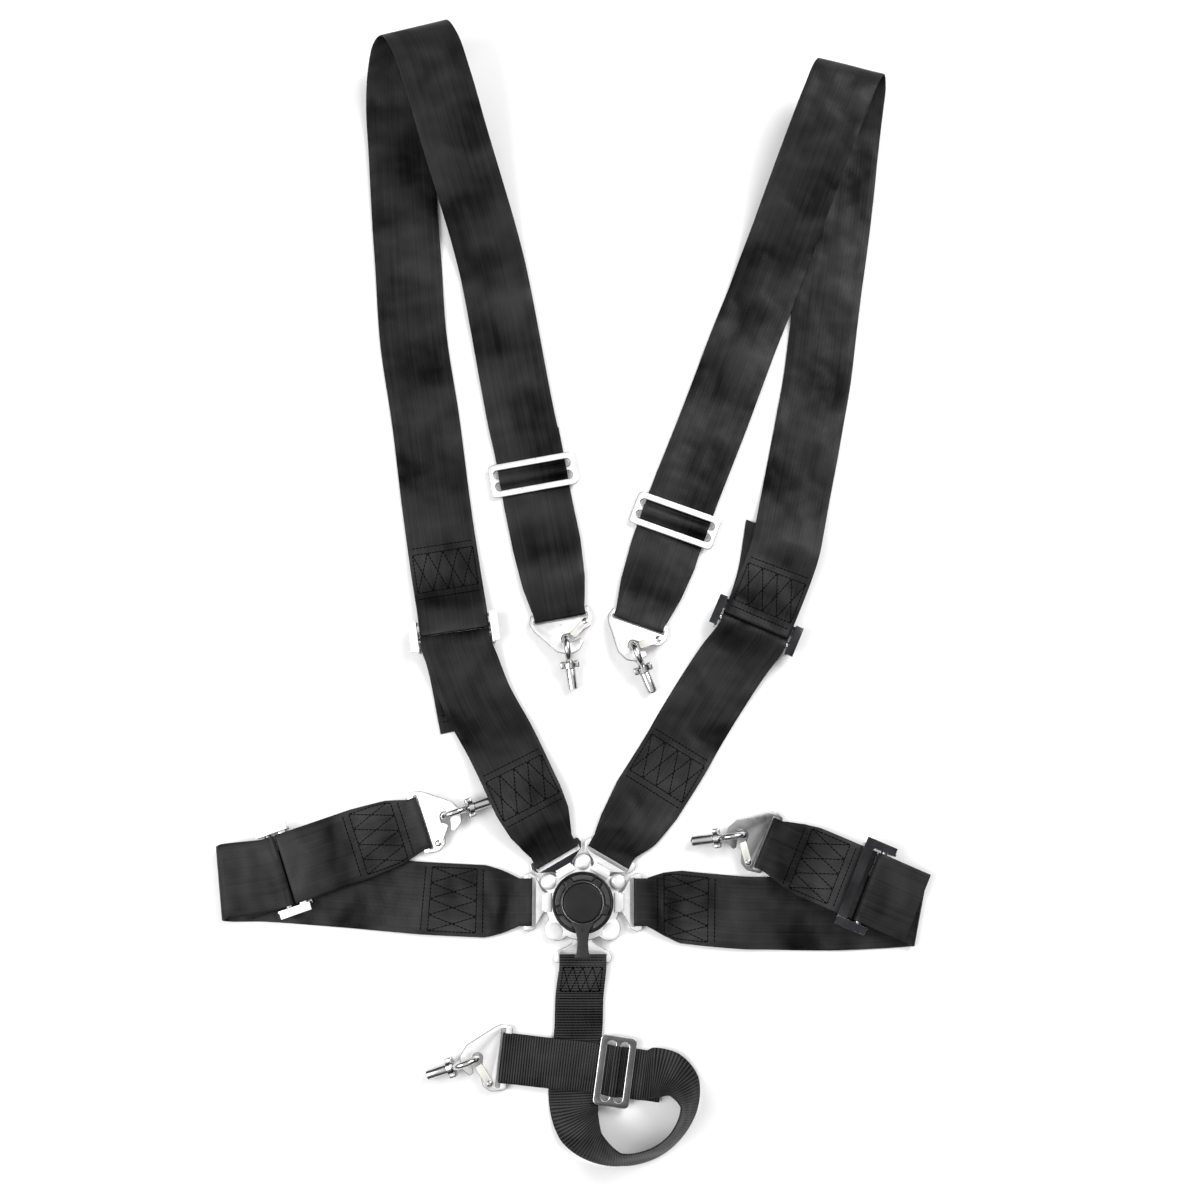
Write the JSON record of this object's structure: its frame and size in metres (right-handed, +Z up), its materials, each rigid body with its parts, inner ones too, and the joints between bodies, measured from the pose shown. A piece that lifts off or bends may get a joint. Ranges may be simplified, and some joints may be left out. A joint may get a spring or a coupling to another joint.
{
  "type": "racing harness",
  "caption": "Racing harness laid out flat: shoulder, lap and crotch webbing with adjusters and snap hooks, joined at a rotary cam-lock buckle.",
  "frame": {"origin": "on the knob's turning axis, at the underside of the buckle's base plate", "axes": "+Z up from the surface the harness lies on, out through the knob; +Y towards the shoulder straps; +X to the wearer's left side as the straps lie, towards the right-hand lap strap seen from above"},
  "size_m": [0.764, 1.2553, 0.0677],
  "materials": {
    "belt_webbing": "satin woven polyester",
    "crotch_webbing": "ribbed woven nylon",
    "bright_zinc": "bright zinc plated",
    "dark_plating": "dark plated",
    "cast_housing": "bright plated",
    "knob_black": "semi-gloss black",
    "cap_black": "matte dark grey",
    "spring_steel": "plain steel"
  },
  "bodies": {
    "harness": {"buckle_base_plate": "bright_zinc", "buckle_housing": "cast_housing", "centre_post": "spring_steel", "return_spring": "spring_steel", "pin_leaf_spring": "spring_steel", "tongue_crotch": "bright_zinc", "strap_shoulder_lower_left": "belt_webbing", "strap_shoulder_lower_right": "belt_webbing", "strap_shoulder_upper_left": "belt_webbing", "strap_shoulder_upper_right": "belt_webbing", "strap_lap_left": "belt_webbing", "strap_lap_right": "belt_webbing", "strap_lap_anchor_left": "belt_webbing", "strap_lap_anchor_right": "belt_webbing", "strap_crotch": "crotch_webbing", "slide_shoulder_left": "bright_zinc", "slide_shoulder_right": "bright_zinc", "slide_crotch": "dark_plating", "adjuster_frame_shoulder_left": "bright_zinc", "adjuster_frame_shoulder_right": "dark_plating", "adjuster_frame_lap_left": "bright_zinc", "adjuster_frame_lap_right": "dark_plating", "snap_hook_shoulder_left": "bright_zinc", "snap_hook_shoulder_right": "bright_zinc", "snap_hook_lap_left": "bright_zinc", "snap_hook_lap_right": "dark_plating", "snap_hook_crotch": "bright_zinc", "gate_rivet_shoulder_left": "bright_zinc", "gate_rivet_shoulder_right": "bright_zinc", "gate_rivet_lap_left": "bright_zinc", "gate_rivet_lap_right": "dark_plating", "gate_rivet_crotch": "bright_zinc"},
    "knob": {"rotary_knob": "knob_black", "release_lever": "knob_black", "knob_centre_cap": "cap_black", "cam_plate": "spring_steel"},
    "pin_shoulder_right": {"locking_pin_shoulder_right": "spring_steel"},
    "pin_shoulder_left": {"locking_pin_shoulder_left": "spring_steel"},
    "pin_lap_left": {"locking_pin_lap_left": "spring_steel"},
    "pin_lap_right": {"locking_pin_lap_right": "spring_steel"},
    "tongue_body_shoulder_right": {"tongue_shoulder_right": "bright_zinc"},
    "tongue_body_shoulder_left": {"tongue_shoulder_left": "dark_plating"},
    "tongue_body_lap_left": {"tongue_lap_left": "bright_zinc"},
    "tongue_body_lap_right": {"tongue_lap_right": "bright_zinc"},
    "gate_shoulder_left": {"hook_gate_shoulder_left": "bright_zinc"},
    "bolt_shoulder_left": {"eye_bolt_shoulder_left": "bright_zinc"},
    "gate_shoulder_right": {"hook_gate_shoulder_right": "bright_zinc"},
    "bolt_shoulder_right": {"eye_bolt_shoulder_right": "bright_zinc"},
    "gate_lap_left": {"hook_gate_lap_left": "bright_zinc"},
    "bolt_lap_left": {"eye_bolt_lap_left": "bright_zinc"},
    "gate_lap_right": {"hook_gate_lap_right": "dark_plating"},
    "bolt_lap_right": {"eye_bolt_lap_right": "bright_zinc"},
    "gate_crotch": {"hook_gate_crotch": "bright_zinc"},
    "bolt_crotch": {"eye_bolt_crotch": "bright_zinc"},
    "bar_shoulder_left": {"adjuster_bar_shoulder_left": "bright_zinc"},
    "bar_shoulder_right": {"adjuster_bar_shoulder_right": "bright_zinc"},
    "bar_lap_left": {"adjuster_bar_lap_left": "bright_zinc"},
    "bar_lap_right": {"adjuster_bar_lap_right": "bright_zinc"}
  },
  "joints": [
    {"name": "knob_turn", "type": "hinge", "parent": "harness", "child": "knob", "pos_m": [0, 0, 0.0083], "axis": [0, 0, 1], "range_deg": [0, 30], "stiffness_Nm_per_rad": 0.15, "springref_deg": -20.05},
    {"name": "pin_lift_shoulder_right", "type": "slide", "parent": "harness", "child": "pin_shoulder_right", "axis": [0, 0, 1], "range_m": [0, 0.0041], "deforming": ["pin_leaf_spring"]},
    {"name": "pin_lift_shoulder_left", "type": "slide", "parent": "harness", "child": "pin_shoulder_left", "axis": [0, 0, 1], "range_m": [0, 0.0041]},
    {"name": "pin_lift_lap_left", "type": "slide", "parent": "harness", "child": "pin_lap_left", "axis": [0, 0, 1], "range_m": [0, 0.0041]},
    {"name": "pin_lift_lap_right", "type": "slide", "parent": "harness", "child": "pin_lap_right", "axis": [0, 0, 1], "range_m": [0, 0.0041]},
    {"name": "tongue_release_shoulder_right", "type": "slide", "parent": "harness", "child": "tongue_body_shoulder_right", "axis": [0.5, 0.866, 0], "range_m": [0, 0.0041]},
    {"name": "tongue_release_shoulder_left", "type": "slide", "parent": "harness", "child": "tongue_body_shoulder_left", "axis": [-0.5, 0.866, 0], "range_m": [0, 0.0041]},
    {"name": "tongue_release_lap_left", "type": "slide", "parent": "harness", "child": "tongue_body_lap_left", "axis": [-1, 0, 0], "range_m": [0, 0.0041]},
    {"name": "tongue_release_lap_right", "type": "slide", "parent": "harness", "child": "tongue_body_lap_right", "axis": [1, 0, 0], "range_m": [0, 0.0041]},
    {"name": "gate_swing_shoulder_left", "type": "hinge", "parent": "harness", "child": "gate_shoulder_left", "pos_m": [0.00239, 0.30193, 0.00791], "axis": [0.0429, -0.2208, -0.9744], "range_deg": [0, 25], "stiffness_Nm_per_rad": 0.004, "springref_deg": -17.19},
    {"name": "bolt_swivel_shoulder_left", "type": "hinge", "parent": "harness", "child": "bolt_shoulder_left", "pos_m": [-0.01874, 0.28224, 0], "axis": [0, 0, 1], "range_deg": [-15, 15]},
    {"name": "gate_swing_shoulder_right", "type": "hinge", "parent": "harness", "child": "gate_shoulder_right", "pos_m": [0.08192, 0.28185, 0.00791], "axis": [-0.0751, -0.212, -0.9744], "range_deg": [0, 25], "stiffness_Nm_per_rad": 0.004, "springref_deg": -17.19},
    {"name": "bolt_swivel_shoulder_right", "type": "hinge", "parent": "harness", "child": "bolt_shoulder_right", "pos_m": [0.05371, 0.2756, 0], "axis": [0, 0, 1], "range_deg": [-15, 15]},
    {"name": "gate_swing_lap_left", "type": "hinge", "parent": "harness", "child": "gate_lap_left", "pos_m": [-0.15438, 0.06221, 0.00791], "axis": [-0.2128, -0.0729, 0.9744], "range_deg": [0, 25], "stiffness_Nm_per_rad": 0.004, "springref_deg": -17.19},
    {"name": "bolt_swivel_lap_left", "type": "hinge", "parent": "harness", "child": "bolt_lap_left", "pos_m": [-0.14784, 0.09035, 0], "axis": [0, 0, 1], "range_deg": [-12, 12]},
    {"name": "gate_swing_lap_right", "type": "hinge", "parent": "harness", "child": "gate_lap_right", "pos_m": [0.17589, 0.04227, 0.00791], "axis": [-0.2069, 0.0883, -0.9744], "range_deg": [0, 25], "stiffness_Nm_per_rad": 0.004, "springref_deg": -17.19},
    {"name": "bolt_swivel_lap_right", "type": "hinge", "parent": "harness", "child": "bolt_lap_right", "pos_m": [0.17143, 0.07081, 0], "axis": [0, 0, 1], "range_deg": [-15, 15]},
    {"name": "gate_swing_crotch", "type": "hinge", "parent": "harness", "child": "gate_crotch", "pos_m": [-0.09761, -0.18549, 0.00791], "axis": [-0.2237, 0.0235, -0.9744], "range_deg": [0, 25], "stiffness_Nm_per_rad": 0.004, "springref_deg": -17.19},
    {"name": "bolt_swivel_crotch", "type": "hinge", "parent": "harness", "child": "bolt_crotch", "pos_m": [-0.11026, -0.15952, 0], "axis": [0, 0, 1], "range_deg": [-15, 15]},
    {"name": "bar_slide_shoulder_left", "type": "slide", "parent": "harness", "child": "bar_shoulder_left", "axis": [0.1461, -0.9893, 0], "range_m": [0, 0.004]},
    {"name": "bar_slide_shoulder_right", "type": "slide", "parent": "harness", "child": "bar_shoulder_right", "axis": [-0.3955, -0.9184, 0], "range_m": [0, 0.004]},
    {"name": "bar_slide_lap_left", "type": "slide", "parent": "harness", "child": "bar_lap_left", "axis": [-0.9461, -0.3239, 0], "range_m": [0, 0.004]},
    {"name": "bar_slide_lap_right", "type": "slide", "parent": "harness", "child": "bar_lap_right", "axis": [0.9198, -0.3923, 0], "range_m": [0, 0.004]}
  ],
  "couplings": [
    {"joint": "pin_lift_shoulder_right", "follows": "knob_turn", "m_per_rad": 0.007639},
    {"joint": "pin_lift_shoulder_left", "follows": "knob_turn", "m_per_rad": 0.007639},
    {"joint": "pin_lift_lap_left", "follows": "knob_turn", "m_per_rad": 0.007639},
    {"joint": "pin_lift_lap_right", "follows": "knob_turn", "m_per_rad": 0.007639},
    {"joint": "tongue_release_shoulder_right", "follows": "knob_turn", "m_per_rad": 0.007639},
    {"joint": "tongue_release_shoulder_left", "follows": "knob_turn", "m_per_rad": 0.007639},
    {"joint": "tongue_release_lap_left", "follows": "knob_turn", "m_per_rad": 0.007639},
    {"joint": "tongue_release_lap_right", "follows": "knob_turn", "m_per_rad": 0.007639}
  ]
}
